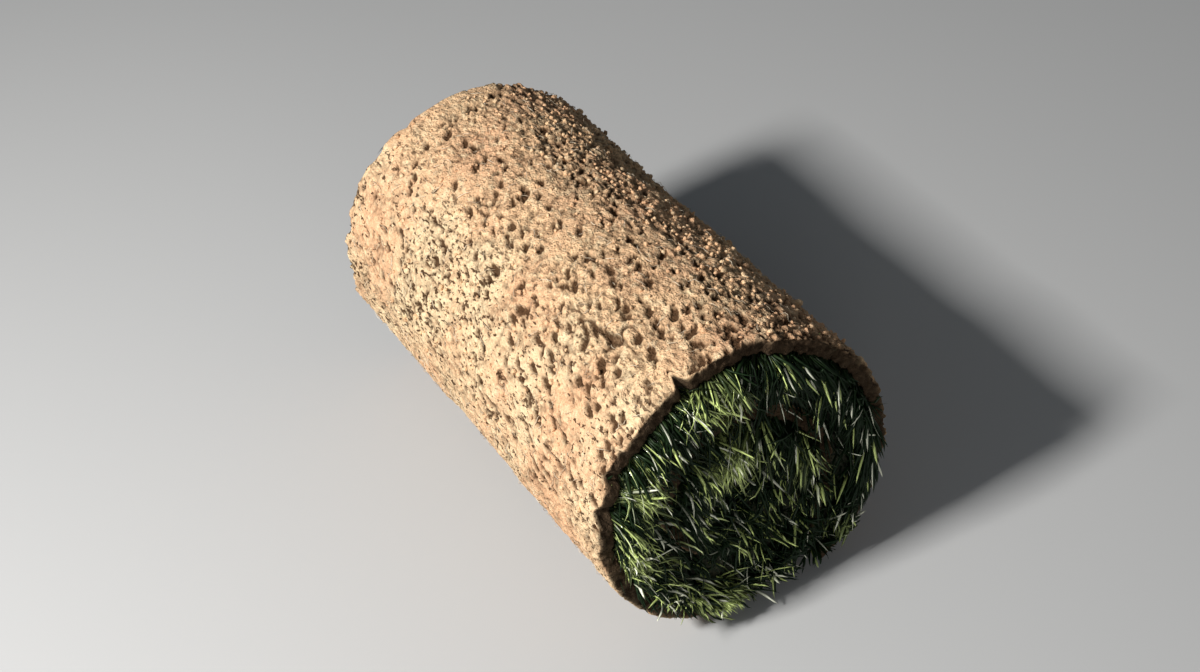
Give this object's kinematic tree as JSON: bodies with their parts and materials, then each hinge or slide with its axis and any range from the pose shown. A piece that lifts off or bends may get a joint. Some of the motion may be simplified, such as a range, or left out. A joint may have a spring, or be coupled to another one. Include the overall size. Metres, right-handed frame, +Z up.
{
  "type": "roll of turf",
  "caption": "Strip of cut turf wound up with its grass inside, lying on its side with its last end tucked under it.",
  "frame": {"origin": "bottom centre of the roll's bounding box, on the floor that it lies on", "axes": "+Z up, the roll's axis along Y, with the pictured end at -Y and the tucked end of the strip on the +X side"},
  "size_m": [0.3456, 0.626, 0.3324],
  "materials": {
    "turf": "dry, crumbly soil full of roots, with green grass at the ends"
  },
  "bodies": {
    "root": {"turf_roll": "turf"}
  },
  "joints": []
}
